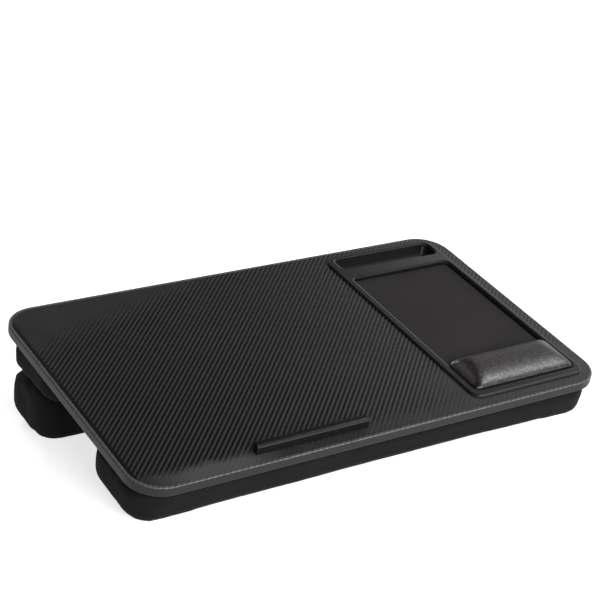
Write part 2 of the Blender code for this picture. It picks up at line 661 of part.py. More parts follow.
def standing_place():
    """The tilt about x, and where the board's origin lands for a centred, grounded desk."""
    turn = Matrix.Rotation(TILT, 3, "X")
    reach = [(turn @ Vector((0, side * (BOARD_DEPTH / 2 - inset), z))).y
             for side in (-1, 1) for inset, z in band_profile()]
    return Vector((0, -(min(reach) + max(reach)) / 2, -(turn @ GROUND_POINT).z))


def main():
    clear_scene()
    laminate = make_material("board_laminate", (0.018, 0.018, 0.017), 0.30)
    edging = make_material("edge_band_plastic", (0.022, 0.022, 0.022), 0.35)
    fibreboard = make_material("fibreboard", (0.42, 0.30, 0.19), 0.85)
    lining = make_material("underside_lining", (0.015, 0.015, 0.016), 0.95)
    plastic = make_material("tray_plastic", (0.009, 0.009, 0.009), 0.38)
    pad_cloth = make_material("pad_cloth", (0.024, 0.022, 0.023), 0.92)
    soft_skin = make_material("wrist_rest_skin", (0.012, 0.009, 0.008), 0.45)
    gel = make_material("gel", (0.30, 0.32, 0.34), 0.25)
    bar_plastic = make_material("stop_bar_plastic", (0.012, 0.012, 0.012), 0.35)
    steel = make_material("screw_steel", (0.50, 0.50, 0.52), 0.35, 1.0)
    fabric = make_material("cushion_fabric", (0.011, 0.011, 0.011), 0.95)
    foam = make_material("cushion_foam", (0.55, 0.53, 0.47), 0.95)
    closure = make_material("hook_and_loop", (0.018, 0.018, 0.019), 0.9)

    desk = make_empty("desk_frame", standing_place())
    desk.rotation_euler = (TILT, 0, 0)
    booster = make_empty("booster_hinge", HINGE_POINT, desk)

    build_edge_band(desk, edging)
    build_board_layer("top_laminate", LAMINATE_BOTTOM, 0, desk, laminate)
    build_board_layer("board_core", CORE_BOTTOM, CORE_TOP, desk, fibreboard)
    build_base_panel(desk, fibreboard)
    build_underside_fabric(desk, lining)
    build_tray_frame(desk, plastic)
    build_mouse_pad(desk, pad_cloth)
    build_wrist_rest(desk, soft_skin, gel, plastic)
    build_stop_bar(desk, bar_plastic)
    for number, place in enumerate(tray_screw_places(), 1):
        build_screw("tray_screw_%d" % number, place, desk, steel)
    for number, place in enumerate(bar_screw_places(), 1):
        build_screw("stop_screw_%d" % number, place, desk, steel)

    origin = Vector((0, FRONT_CUSHION_Y, CUSHION_TOP))
    front = build_cushion("front_cushion", origin, FRONT_CUSHION_DEPTH, CUSHION_TOP + FRONT_CUSHION_DROP,
                          (FRONT_CUSHION_TOP_ROUND, GROUND_ROUND), CUSHION_CROWN, desk, Vector(),
                          fabric, foam)
    apply_shape(front, "front_cushion_ground", ground_cutter(origin))
    origin = Vector((0, REAR_CUSHION_Y, CUSHION_TOP))
    build_cushion("rear_cushion", origin, REAR_CUSHION_DEPTH, CUSHION_TOP + REAR_CUSHION_DROP,
                  (REAR_CUSHION_TOP_ROUND, REAR_CUSHION_BOTTOM_ROUND), 0, desk, Vector(), fabric, foam)
    origin = Vector((0, BOOSTER_Y, BOOSTER_TOP))
    lower = build_cushion("booster", origin, BOOSTER_DEPTH, BOOSTER_HEIGHT, (BOOSTER_TOP_ROUND, GROUND_ROUND),
                          CUSHION_CROWN, booster, HINGE_POINT, fabric, foam)
    apply_shape(lower, "booster_ground", ground_cutter(origin))

    build_strips(desk, booster, closure, closure)
    build_hinge_tape(desk, fabric)


main()
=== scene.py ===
"""Looks of the lap desk: materials, soft pieces, light and camera, built around the CAD frame."""
import json
import math

import bmesh
import bpy
import numpy as np
from mathutils import Matrix, Vector, noise as field
from mathutils.bvhtree import BVHTree


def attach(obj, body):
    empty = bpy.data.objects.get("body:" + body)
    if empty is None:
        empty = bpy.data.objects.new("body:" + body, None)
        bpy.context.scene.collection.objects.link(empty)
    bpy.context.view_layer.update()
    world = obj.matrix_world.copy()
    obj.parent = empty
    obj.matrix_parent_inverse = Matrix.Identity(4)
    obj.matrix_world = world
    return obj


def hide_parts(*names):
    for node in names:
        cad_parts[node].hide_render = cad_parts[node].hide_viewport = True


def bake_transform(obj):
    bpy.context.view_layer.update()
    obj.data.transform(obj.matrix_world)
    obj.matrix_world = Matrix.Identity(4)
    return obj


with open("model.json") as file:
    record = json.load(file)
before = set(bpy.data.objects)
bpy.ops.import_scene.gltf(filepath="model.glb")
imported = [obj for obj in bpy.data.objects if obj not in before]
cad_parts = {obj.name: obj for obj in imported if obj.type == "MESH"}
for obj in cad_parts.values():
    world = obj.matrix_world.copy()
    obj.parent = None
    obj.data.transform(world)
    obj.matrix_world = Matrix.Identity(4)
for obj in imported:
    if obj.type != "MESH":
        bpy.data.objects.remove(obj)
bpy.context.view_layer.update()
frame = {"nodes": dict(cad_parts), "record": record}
NODES = frame["nodes"]


# Board frame: the origin at the centre of the board's top face, x right, y rear, z up its normal

UPWARD = 0.9


def find_board_frame():
    """The tilt and the middle of the board's top face, read from the laminate."""
    mesh = NODES["top_laminate"].data
    normal = Vector()
    for face in mesh.polygons:
        if face.normal.z > UPWARD:
            normal += face.normal * face.area
    tilt = math.atan2(-normal.y, normal.z)
    turn = Matrix.Rotation(tilt, 4, "X")
    flat = [turn.inverted() @ vertex.co for vertex in mesh.vertices]
    low = [min(point[i] for point in flat) for i in range(3)]
    high = [max(point[i] for point in flat) for i in range(3)]
    middle = Vector(((low[0] + high[0]) / 2, (low[1] + high[1]) / 2, high[2]))
    return tilt, Matrix.Translation(turn @ middle) @ turn


TILT, BOARD = find_board_frame()
TO_BOARD = BOARD.inverted()


def board_box(node):
    """Lowest and highest corner of a CAD node in the board frame."""
    points = [TO_BOARD @ vertex.co for vertex in NODES[node].data.vertices]
    return (Vector([min(point[i] for point in points) for i in range(3)]),
            Vector([max(point[i] for point in points) for i in range(3)]))


# Node helpers

def feed(tree, socket, value):
    """Links a socket to another one, or sets it to a number or colour."""
    if isinstance(value, bpy.types.NodeSocket):
        tree.links.new(value, socket)
    else:
        socket.default_value = value


def calc(tree, operation, *values, clamp=False):
    """The result of a Math node."""
    node = tree.nodes.new("ShaderNodeMath")
    node.operation = operation
    node.use_clamp = clamp
    for socket, value in zip(node.inputs, values):
        feed(tree, socket, value)
    return node.outputs[0]


def spread(tree, value, low, high, new_low=0.0, new_high=1.0):
    """Maps a value from one range to another, and stops at its ends."""
    node = tree.nodes.new("ShaderNodeMapRange")
    for name, item in (("Value", value), ("From Min", low), ("From Max", high), ("To Min", new_low),
                       ("To Max", new_high)):
        feed(tree, node.inputs[name], item)
    return node.outputs[0]


def mix_value(tree, share, first, second):
    node = tree.nodes.new("ShaderNodeMix")
    feed(tree, node.inputs[0], share)
    feed(tree, node.inputs[2], first)
    feed(tree, node.inputs[3], second)
    return node.outputs[0]


def blend_colour(tree, share, first, second):
    node = tree.nodes.new("ShaderNodeMix")
    node.data_type = "RGBA"
    feed(tree, node.inputs[0], share)
    feed(tree, node.inputs[6], (*first, 1.0) if isinstance(first, tuple) else first)
    feed(tree, node.inputs[7], (*second, 1.0) if isinstance(second, tuple) else second)
    return node.outputs[2]


def noise(tree, vector, scale, detail=2.0, roughness=0.5):
    node = tree.nodes.new("ShaderNodeTexNoise")
    feed(tree, node.inputs["Vector"], vector)
    node.inputs["Scale"].default_value = scale
    node.inputs["Detail"].default_value = detail
    node.inputs["Roughness"].default_value = roughness
    return node.outputs[0]


def cells(tree, vector, scale):
    node = tree.nodes.new("ShaderNodeTexVoronoi")
    feed(tree, node.inputs["Vector"], vector)
    node.inputs["Scale"].default_value = scale
    return node.outputs[0]


def bump(tree, height, distance, strength=1.0, under=None):
    """The normal of a relief, laid over the one beneath it where there is one."""
    node = tree.nodes.new("ShaderNodeBump")
    node.inputs["Distance"].default_value = distance
    node.inputs["Strength"].default_value = strength
    feed(tree, node.inputs["Height"], height)
    if under is not None:
        feed(tree, node.inputs["Normal"], under)
    return node.outputs[0]


def board_place(tree):
    """Coordinates in the board frame, in metres, that stay with the piece."""
    source = tree.nodes.new("ShaderNodeTexCoord")
    turn = tree.nodes.new("ShaderNodeMapping")
    tree.links.new(source.outputs["Object"], turn.inputs["Vector"])
    turn.inputs["Rotation"].default_value = (-TILT, 0, 0)
    turn.inputs["Location"].default_value = TO_BOARD.to_translation()
    return turn.outputs[0]


def split(tree, vector):
    node = tree.nodes.new("ShaderNodeSeparateXYZ")
    feed(tree, node.inputs[0], vector)
    return node.outputs[0], node.outputs[1], node.outputs[2]


def facing(tree):
    """How far the surface faces along each axis of the board frame, from 0 to 1."""
    source = tree.nodes.new("ShaderNodeTexCoord")
    turn = tree.nodes.new("ShaderNodeMapping")
    turn.vector_type = "NORMAL"
    tree.links.new(source.outputs["Normal"], turn.inputs["Vector"])
    turn.inputs["Rotation"].default_value = (-TILT, 0, 0)
    return [calc(tree, "ABSOLUTE", part) for part in split(tree, turn.outputs[0])]


def new_material(name, **uniform):
    """A material and its shader. Values that are the same all over go on the shader itself."""
    material = bpy.data.materials.new(name)
    material.use_nodes = True
    tree = material.node_tree
    shader = tree.nodes["Principled BSDF"]
    for key, value in uniform.items():
        shader.inputs[key.replace("_", " ")].default_value = value
    return material, tree, shader


def arch(tree, value):
    """A rise from 0 to 1 and back to 0 as the value goes from 0 to 1."""
    return calc(tree, "MULTIPLY", calc(tree, "MULTIPLY", value, 4.0), calc(tree, "SUBTRACT", 1.0, value))


def twill(tree, u, v):
    """A two over two twill: which thread is on top, how high it stands, and the way across it."""
    column, row = calc(tree, "FLOOR", u), calc(tree, "FLOOR", v)
    step = calc(tree, "FLOORED_MODULO", calc(tree, "SUBTRACT", column, row), 4.0)
    warp = calc(tree, "LESS_THAN", step, 1.5)
    in_u, in_v = calc(tree, "FRACT", u), calc(tree, "FRACT", v)
    along_warp = calc(tree, "MULTIPLY", calc(tree, "ADD", calc(tree, "SUBTRACT", 1.0, step), in_v), 0.5)
    along_weft = calc(tree, "MULTIPLY", calc(tree, "ADD", calc(tree, "SUBTRACT", step, 2.0), in_u), 0.5)
    heights = []
    for across, along in ((in_u, along_warp), (in_v, along_weft)):
        rise = calc(tree, "MULTIPLY_ADD", arch(tree, along), 0.5, 0.5)
        heights.append(calc(tree, "MULTIPLY", calc(tree, "POWER", arch(tree, across), THREAD_ROUNDNESS), rise))
    height = mix_value(tree, warp, heights[1], heights[0])
    across = mix_value(tree, warp, in_v, in_u)
    return warp, height, across


# Materials

TWILL_PITCH = 0.00155
TWILL_REPEAT = 4
THREAD_ROUNDNESS = 0.6
THREAD_FIBRES = 4
THREAD_DARK, THREAD_LIGHT = (0.0004, 0.0004, 0.0004), (0.030, 0.0295, 0.028)
# Painted reflection: plain grey that stands in for twill washed out by the gloss, then a paler painted sheen
# patch and a painted shade line
SHEEN_DARK, SHEEN_LIGHT = (0.017, 0.017, 0.017), (0.026, 0.0255, 0.025)
SHEEN_PATCH_COLOUR, SHADE_LINE_COLOUR = (0.062, 0.061, 0.060), (0.002, 0.002, 0.002)

# Zones of painted reflection on the board's film, where plain grey stands in for the twill that the gloss washes
# out, as places along x or y in metres: each pair goes from none to all
SHEEN_FRONT = (-0.128, -0.140)
SHEEN_CORNER_X, SHEEN_CORNER_Y = (0.060, 0.100), (-0.070, -0.100)
SHEEN_REAR, SHEEN_REAR_LEAN = (0.150, 0.185), 0.35
SHEEN_WANDER, SHEEN_SHARE = 0.030, 0.85
# A paler painted sheen patch near the front left: its middle along x, its reach in x from none to all, and its y
# from none to all
SHEEN_PATCH_X, SHEEN_PATCH_REACH, SHEEN_PATCH_Y = -0.185, (0.070, 0.030), (-0.118, -0.138)
# A painted shade line along the film's left edge: from none to all across x, and how dark it gets
SHADE_LINE_X, SHADE_LINE_SHARE = (-0.2600, -0.2625), 0.85

# Edge band colours, the last one the colour of its painted highlight along the top edge
BAND_DARK, BAND_LIGHT, BAND_HIGHLIGHT = (0.011, 0.011, 0.011), (0.023, 0.023, 0.023), (0.34, 0.34, 0.33)
# Heights in the board frame over which the painted highlight on the band's top round comes in
ARRIS_Z = (-0.0009, -0.0004)
MATT_EDGE_Y = (-0.1366, -0.1380)
# How far below its level the painted shade on the cloth fades in
SHADE_HEIGHT = 0.003
SKIN_DARK, SKIN_LIGHT = (0.004, 0.0026, 0.002), (0.010, 0.007, 0.006)
STEEL_DARK, STEEL_LIGHT = (0.44, 0.44, 0.45), (0.62, 0.62, 0.63)
FOAM_DARK, FOAM_LIGHT = (0.44, 0.42, 0.36), (0.64, 0.61, 0.54)
GEL_DARK, GEL_LIGHT = (0.26, 0.28, 0.30), (0.34, 0.36, 0.38)
TUFT_DARK, TUFT_LIGHT = (0.009, 0.009, 0.010), (0.030, 0.030, 0.032)


def laminate_material():
    """Charcoal film with a fine printed twill, semi-gloss, with painted reflection in three zones where plain
    grey stands in for the twill that the gloss washes out, a paler painted sheen patch at the front left, and a
    painted shade line along the left edge.
    """
    material, tree, shader = new_material("board_laminate", IOR=1.5, Specular_IOR_Level=0.4)
    place = board_place(tree)
    x, y, z = split(tree, place)
    warp, height, across = twill(tree, calc(tree, "DIVIDE", x, TWILL_PITCH), calc(tree, "DIVIDE", y, TWILL_PITCH))
    fibre = calc(tree, "SINE", calc(tree, "MULTIPLY", across, 2 * math.pi * THREAD_FIBRES))
    haze = noise(tree, place, 9.0, 1.0)
    sheen_noise = noise(tree, place, 38.0, 3.0)
    wander = calc(tree, "MULTIPLY_ADD", sheen_noise, SHEEN_WANDER, -SHEEN_WANDER / 2)
    x_near, y_near = calc(tree, "ADD", x, wander), calc(tree, "ADD", y, wander)
    # Painted reflection zones: along the front, at the front right and towards the rear left
    front = spread(tree, y_near, *SHEEN_FRONT)
    corner = calc(tree, "MULTIPLY", spread(tree, x_near, *SHEEN_CORNER_X), spread(tree, y_near, *SHEEN_CORNER_Y))
    slant = calc(tree, "SUBTRACT", y, calc(tree, "MULTIPLY", x, SHEEN_REAR_LEAN))
    rear = spread(tree, calc(tree, "ADD", slant, wander), *SHEEN_REAR)
    painted_sheen_zone = calc(tree, "MAXIMUM", calc(tree, "MAXIMUM", front, corner), rear)
    painted_sheen_zone = calc(tree, "MULTIPLY", painted_sheen_zone, SHEEN_SHARE)
    tone = calc(tree, "MULTIPLY", calc(tree, "MULTIPLY_ADD", warp, 0.86, 0.03), calc(
        tree, "MULTIPLY_ADD", height, 0.6, 0.6))
    tone = calc(tree, "MULTIPLY_ADD", fibre, 0.04, tone)
    tone = calc(tree, "MULTIPLY_ADD", haze, 0.06, tone, clamp=True)
    thread = blend_colour(tree, tone, THREAD_DARK, THREAD_LIGHT)
    # Painted reflection: plain grey in place of the twill that the gloss washes out
    plain = blend_colour(tree, sheen_noise, SHEEN_DARK, SHEEN_LIGHT)
    # A paler painted sheen patch near the front left
    far = calc(tree, "ABSOLUTE", calc(tree, "SUBTRACT", x, SHEEN_PATCH_X))
    sheen_patch = calc(tree, "MULTIPLY", spread(tree, far, *SHEEN_PATCH_REACH), spread(tree, y, *SHEEN_PATCH_Y))
    film = blend_colour(tree, painted_sheen_zone, thread, blend_colour(tree, sheen_patch, plain, SHEEN_PATCH_COLOUR))
    # Painted shade line along the film's left edge
    shade_line = calc(tree, "MULTIPLY", spread(tree, x, *SHADE_LINE_X), SHADE_LINE_SHARE)
    film = blend_colour(tree, shade_line, film, SHADE_LINE_COLOUR)
    feed(tree, shader.inputs["Base Color"], film)
    feed(tree, shader.inputs["Roughness"], calc(tree, "MULTIPLY_ADD", warp, -0.05, calc(
        tree, "MULTIPLY_ADD", haze, 0.06, 0.19)))
    feed(tree, shader.inputs["Normal"], bump(tree, height, 0.00005))
    return material


def band_material():
    """Satin charcoal edging with a painted highlight along its top edge, pale dashes broken by the film's relief,
    strongest where the edge faces the front.
    """
    material, tree, shader = new_material("edge_band_plastic", IOR=1.5, Specular_IOR_Level=0.22)
    place = board_place(tree)
    x, y, z = split(tree, place)
    grain = noise(tree, place, 2600.0, 2.0)
    haze = noise(tree, place, 26.0, 2.0)
    tone = calc(tree, "MULTIPLY_ADD", haze, 0.5, calc(tree, "MULTIPLY", grain, 0.3))
    side = blend_colour(tree, tone, BAND_DARK, BAND_LIGHT)
    # Painted highlight along the top edge, broken into dashes by the film's relief and by noise
    run = calc(tree, "DIVIDE", calc(tree, "SUBTRACT", x, y), TWILL_PITCH * TWILL_REPEAT)
    wave = calc(tree, "SINE", calc(tree, "MULTIPLY", run, 2 * math.pi))
    highlight_noise = noise(tree, place, 160.0, 2.0)
    dash = calc(tree, "MULTIPLY_ADD", wave, 0.25, calc(tree, "MULTIPLY_ADD", highlight_noise, 0.9, 0.25), clamp=True)
    ways = facing(tree)
    # The painted highlight is strongest where the band faces the front
    length = calc(tree, "MULTIPLY_ADD", calc(tree, "POWER", ways[1], 2.0), 0.85, 0.15, clamp=True)
    arris_highlight = spread(tree, z, *ARRIS_Z)
    arris_highlight = calc(tree, "MULTIPLY", calc(tree, "MULTIPLY", arris_highlight, dash), length)
    feed(tree, shader.inputs["Base Color"], blend_colour(tree, arris_highlight, side, BAND_HIGHLIGHT))
    feed(tree, shader.inputs["Roughness"], calc(tree, "MULTIPLY_ADD", haze, 0.1, 0.42))
    feed(tree, shader.inputs["Normal"], bump(tree, grain, 0.00002))
    return material


def plastic_material(name, dark, light, roughness, grain_scale, grain_depth, front_matt, **uniform):
    """Moulded plastic with a fine spark grain and faint wear, more matt along the board's front edge."""
    material, tree, shader = new_material(name, IOR=1.5, **uniform)
    place = board_place(tree)
    haze = noise(tree, place, 22.0, 3.0)
    grain = noise(tree, place, grain_scale, 2.0)
    rubs = noise(tree, place, 140.0, 4.0, 0.7)
    tone = calc(tree, "MULTIPLY_ADD", haze, 0.6, calc(tree, "MULTIPLY", rubs, 0.3))
    feed(tree, shader.inputs["Base Color"], blend_colour(tree, tone, dark, light))
    front_edge = spread(tree, split(tree, place)[1], *MATT_EDGE_Y, 0.0, front_matt)
    matt = calc(tree, "MULTIPLY_ADD", rubs, 0.16, roughness - 0.08)
    feed(tree, shader.inputs["Roughness"], calc(tree, "ADD", matt, front_edge))
    feed(tree, shader.inputs["Normal"], bump(tree, grain, grain_depth))
    return material


def weave_height(tree, place, pitch):
    """A plain weave on whichever plane of the board frame the surface lies in."""
    axes = split(tree, place)
    ways = facing(tree)
    total, weight = None, None
    for i, (first, second) in enumerate(((1, 2), (0, 2), (0, 1))):
        threads = [calc(tree, "SINE", calc(tree, "MULTIPLY", axes[axis], math.pi / pitch))
                   for axis in (first, second)]
        thread = calc(tree, "MULTIPLY", *threads)
        share = calc(tree, "POWER", ways[i], 6.0)
        part = calc(tree, "MULTIPLY", thread, share)
        total = part if total is None else calc(tree, "ADD", total, part)
        weight = share if weight is None else calc(tree, "ADD", weight, share)
    return calc(tree, "DIVIDE", total, calc(tree, "MAXIMUM", weight, 0.001))


def fabric_material(name, dark, light, pitch, depth, shade_z, **uniform):
    """Matte woven cloth with lint and uneven dye, darkened by painted shade above a level of the board frame, as
    under the board's overhang.
    """
    material, tree, shader = new_material(name, **uniform)
    place = board_place(tree)
    weave = weave_height(tree, place, pitch)
    lint = noise(tree, place, 900.0, 4.0, 0.7)
    patches = noise(tree, place, 16.0, 3.0)
    tone = calc(tree, "MULTIPLY_ADD", weave, 0.22, calc(tree, "MULTIPLY_ADD", lint, 0.55, calc(
        tree, "MULTIPLY_ADD", patches, 0.5, -0.05)), clamp=True)
    level = split(tree, place)[2]
    # Painted shade: the cloth goes dark above the level, as in the shadow under the board's edge
    tone = calc(tree, "MULTIPLY", tone, spread(tree, level, shade_z - SHADE_HEIGHT, shade_z, 1.0, 0.0))
    feed(tree, shader.inputs["Base Color"], blend_colour(tree, tone, dark, light))
    feed(tree, shader.inputs["Roughness"], calc(tree, "MULTIPLY_ADD", lint, 0.14, 0.84))
    under = bump(tree, lint, 0.0001, 0.6)
    feed(tree, shader.inputs["Normal"], bump(tree, weave, depth, 0.9, under))
    return material


def skin_material():
    """Soft brown-black imitation leather with a fine pebble grain."""
    material, tree, shader = new_material("wrist_rest_skin", IOR=1.5)
    place = board_place(tree)
    pebbles = noise(tree, place, 640.0, 3.0, 0.65)
    fine = noise(tree, place, 1800.0, 2.0)
    patches = noise(tree, place, 34.0, 3.0)
    speckle = spread(tree, noise(tree, place, 430.0, 2.0, 0.8), 0.42, 0.60)
    tone = calc(tree, "MULTIPLY_ADD", pebbles, 0.35, calc(tree, "MULTIPLY", patches, 0.6))
    feed(tree, shader.inputs["Specular IOR Level"], calc(tree, "MULTIPLY_ADD", speckle, 0.55, 0.45))
    feed(tree, shader.inputs["Base Color"], blend_colour(tree, tone, SKIN_DARK, SKIN_LIGHT))
    feed(tree, shader.inputs["Roughness"], calc(tree, "MULTIPLY_ADD", patches, 0.14, calc(
        tree, "MULTIPLY_ADD", pebbles, -0.10, 0.31)))
    under = bump(tree, fine, 0.00010)
    feed(tree, shader.inputs["Normal"], bump(tree, pebbles, 0.00024, 1.0, under))
    return material


def fibreboard_material(name, dark, light):
    """Pressed fibres, raw or dyed."""
    material, tree, shader = new_material(name)
    place = board_place(tree)
    fibres = noise(tree, place, 700.0, 5.0, 0.75)
    patches = noise(tree, place, 40.0, 3.0)
    tone = calc(tree, "MULTIPLY_ADD", fibres, 0.7, calc(tree, "MULTIPLY", patches, 0.3))
    feed(tree, shader.inputs["Base Color"], blend_colour(tree, tone, dark, light))
    feed(tree, shader.inputs["Roughness"], calc(tree, "MULTIPLY_ADD", fibres, 0.2, 0.75))
    feed(tree, shader.inputs["Normal"], bump(tree, fibres, 0.00012))
    return material


def steel_material():
    """Zinc plate with fine turning marks."""
    material, tree, shader = new_material("screw_steel", Metallic=1.0)
    place = board_place(tree)
    marks = noise(tree, place, 3200.0, 3.0)
    haze = noise(tree, place, 420.0, 2.0)
    feed(tree, shader.inputs["Base Color"], blend_colour(tree, haze, STEEL_DARK, STEEL_LIGHT))
    feed(tree, shader.inputs["Roughness"], calc(tree, "MULTIPLY_ADD", marks, 0.25, 0.22))
    feed(tree, shader.inputs["Normal"], bump(tree, marks, 0.00002))
    return material


def foam_material():
    """Open-cell foam."""
    material, tree, shader = new_material("cushion_foam")
    place = board_place(tree)
    pores = cells(tree, place, 900.0)
    patches = noise(tree, place, 20.0, 2.0)
    tone = calc(tree, "MULTIPLY_ADD", pores, 0.7, calc(tree, "MULTIPLY", patches, 0.3))
    feed(tree, shader.inputs["Base Color"], blend_colour(tree, tone, FOAM_DARK, FOAM_LIGHT))
    feed(tree, shader.inputs["Roughness"], calc(tree, "MULTIPLY_ADD", pores, 0.1, 0.88))
    feed(tree, shader.inputs["Normal"], bump(tree, pores, 0.0003))
    return material


def gel_material():
    """Soft, cloudy gel."""
    material, tree, shader = new_material("gel", IOR=1.42, Subsurface_Weight=0.3)
    place = board_place(tree)
    clouds = noise(tree, place, 60.0, 3.0)
    feed(tree, shader.inputs["Base Color"], blend_colour(tree, clouds, GEL_DARK, GEL_LIGHT))
    feed(tree, shader.inputs["Roughness"], calc(tree, "MULTIPLY_ADD", clouds, 0.1, 0.2))
    return material


def closure_material():
    """Hook and loop tape: rows of small tufts."""
    material, tree, shader = new_material("hook_and_loop", Sheen_Weight=0.15, Sheen_Roughness=0.5)
    place = board_place(tree)
    tufts = cells(tree, place, 1100.0)
    patches = noise(tree, place, 60.0, 2.0)
    tone = calc(tree, "MULTIPLY_ADD", tufts, 0.8, calc(tree, "MULTIPLY", patches, 0.3))
    feed(tree, shader.inputs["Base Color"], blend_colour(tree, tone, TUFT_DARK, TUFT_LIGHT))
    feed(tree, shader.inputs["Roughness"], calc(tree, "MULTIPLY_ADD", tufts, 0.1, 0.85))
    feed(tree, shader.inputs["Normal"], bump(tree, tufts, 0.0004))
    return material


LAMINATE = laminate_material()
BAND = band_material()
FIBREBOARD = fibreboard_material("fibreboard", (0.30, 0.20, 0.12), (0.54, 0.40, 0.27))
HARDBOARD = fibreboard_material("black_hardboard", (0.008, 0.008, 0.008), (0.022, 0.021, 0.020))
LINING = fabric_material("underside_lining", (0.008, 0.008, 0.009), (0.022, 0.022, 0.023), pitch=0.0008,
                         depth=0.00005, shade_z=0.0, Sheen_Weight=0.05)
TRAY = plastic_material("tray_plastic", (0.006, 0.006, 0.006), (0.011, 0.011, 0.011), roughness=0.17,
                        grain_scale=2400.0, grain_depth=0.00002, front_matt=0.45)
PAD = fabric_material("pad_cloth", (0.017, 0.0155, 0.016), (0.030, 0.0275, 0.0285), pitch=0.00035,
                      depth=0.00005, shade_z=0.01, Specular_IOR_Level=0.1)
SKIN = skin_material()
GEL = gel_material()
STOP_BAR = plastic_material("stop_bar_plastic", (0.004, 0.004, 0.004), (0.010, 0.010, 0.010), roughness=0.20,
                            grain_scale=2400.0, grain_depth=0.00002, front_matt=0.0, Specular_IOR_Level=0.4)
STEEL = steel_material()
# The cushion cloth's painted shade sits along its top, under the board's edge
FABRIC = fabric_material("cushion_fabric", (0.0020, 0.0020, 0.0019), (0.0150, 0.0146, 0.0140), pitch=0.0006,
                         depth=0.00012, shade_z=-0.0125, Specular_IOR_Level=0.15, Sheen_Weight=0.03,
                         Sheen_Roughness=0.4)
FOAM = foam_material()
CLOSURE = closure_material()

SLOT_MATERIALS = {"board_laminate": LAMINATE, "edge_band": BAND, "fibreboard": FIBREBOARD, "lining": LINING,
                  "tray_plastic": TRAY, "pad_cloth": PAD, "wrist_skin": SKIN, "gel": GEL,
                  "stop_bar_plastic": STOP_BAR, "screw_steel": STEEL, "cushion_fabric": FABRIC,
                  "cushion_foam": FOAM, "hook_and_loop": CLOSURE}
for subpart in frame["record"]["subparts"]:
    node_materials = NODES[subpart["node"]].data.materials
    node_materials.clear()
    node_materials.append(SLOT_MATERIALS[subpart["material_slot"]])
NODES["base_panel"].data.materials[0] = HARDBOARD


# Mesh helpers

def place_object(name, data):
    """A new object in the scene."""
    item = bpy.data.objects.new(name, data)
    bpy.context.scene.collection.objects.link(item)
    return item


def add_piece(name, bm, material, body):
    """Turns a mesh drawn in the board frame into a piece, which rides on a body if one is named."""
    bmesh.ops.transform(bm, matrix=BOARD, verts=bm.verts)
    bmesh.ops.recalc_face_normals(bm, faces=bm.faces)
    mesh = bpy.data.meshes.new(name)
    bm.to_mesh(mesh)
    bm.free()
    mesh.shade_smooth()
    mesh.materials.append(material)
    piece = place_object(name, mesh)
    if body:
        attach(piece, body)
    return piece


def quarter_round(steps):
    """How far in and how far up a quarter circle goes, as shares of its radius, from foot to top."""
    angles = [math.pi / 2 * step / steps for step in range(steps + 1)]
    return [(1 - math.cos(angle), math.sin(angle)) for angle in angles]


def outline(half_width, half_depth, radius, corner_steps, x_steps, y_steps):
    """Points round a rectangle with round corners, counter-clockwise from its right side."""
    radius = min(radius, half_width, half_depth)
    x, y = half_width - radius, half_depth - radius
    centres = ((x, y), (-x, y), (-x, -y), (x, -y))
    points = []
    for quarter, centre in enumerate(centres):
        for step in range(corner_steps + 1):
            angle = math.pi / 2 * (quarter + step / corner_steps)
            points.append((centre[0] + radius * math.cos(angle), centre[1] + radius * math.sin(angle)))
        following = centres[(quarter + 1) % 4]
        angle = math.pi / 2 * (quarter + 1)
        start = points[-1]
        end = (following[0] + radius * math.cos(angle), following[1] + radius * math.sin(angle))
        steps = y_steps if quarter % 2 else x_steps
        for step in range(1, steps):
            share = step / steps
            points.append((start[0] * (1 - share) + end[0] * share, start[1] * (1 - share) + end[1] * share))
    return points


def loft(bm, rings):
    """Skins rings of equally many points, and caps both ends."""
    loops = [[bm.verts.new(point) for point in ring] for ring in rings]
    count = len(loops[0])
    for low, high in zip(loops, loops[1:]):
        for i in range(count):
            j = (i + 1) % count
            bm.faces.new((low[i], low[j], high[j], high[i]))
    bm.faces.new(loops[0])
    bm.faces.new(loops[-1])


def apply_modifiers(piece):
    """Swaps a piece's mesh for the one that its modifiers make."""
    graph = bpy.context.evaluated_depsgraph_get()
    piece.data = bpy.data.meshes.new_from_object(piece.evaluated_get(graph))
    piece.modifiers.clear()


def read_values(mesh, name):
    """The positions ("co") or normals ("normal") of a mesh's vertices, one row each."""
    values = np.zeros(len(mesh.vertices) * 3, np.float32)
    mesh.vertices.foreach_get(name, values)
    return values.reshape(-1, 3).astype(float)


def write_points(mesh, points):
    mesh.vertices.foreach_set("co", points.astype(np.float32).ravel())
    mesh.update()


def to_frame(points, matrix):
    return points @ np.array(matrix.to_3x3()).T + np.array(matrix.to_translation())


# Bolster cushions: the foam block, remeshed and blown up under its cloth

CUSHION_VOXEL = 0.0045
CUSHION_SWELL = 0.0040
CLOTH_QUALITY, CLOTH_STEPS = 5, 20
CLOTH_MASS, CLOTH_PRESSURE = 0.3, 4.0
CLOTH_STRETCH, CLOTH_SHEAR, CLOTH_BEND = 25, 12, 3

# How far off its CAD cover still draws the cloth, and how fast its pull grows to the full on the way in
COVER_SEARCH, COVER_HOLD = 0.014, 3
COVER_ROUNDS = 3

# What stands past the cover fades over the ramp: to none this far below its top and, on another cushion, this
# far below its bottom. No free cloth hangs lower than that
FREE_BELOW, FREE_ABOVE, FREE_RAMP = 0.001, 0.002, 0.006

# How far it stands past the cover: all round, more on the right end, more on the front, and how much the
# last grows for each metre to the right
CUSHION_PUFF = {"front_cushion": (0.0014, -0.0035, 0.0018, 0.0068), "rear_cushion": (0.0010, 0.0, 0.0, 0.0),
                "booster": (0.0012, 0.0, 0.0, 0.0)}

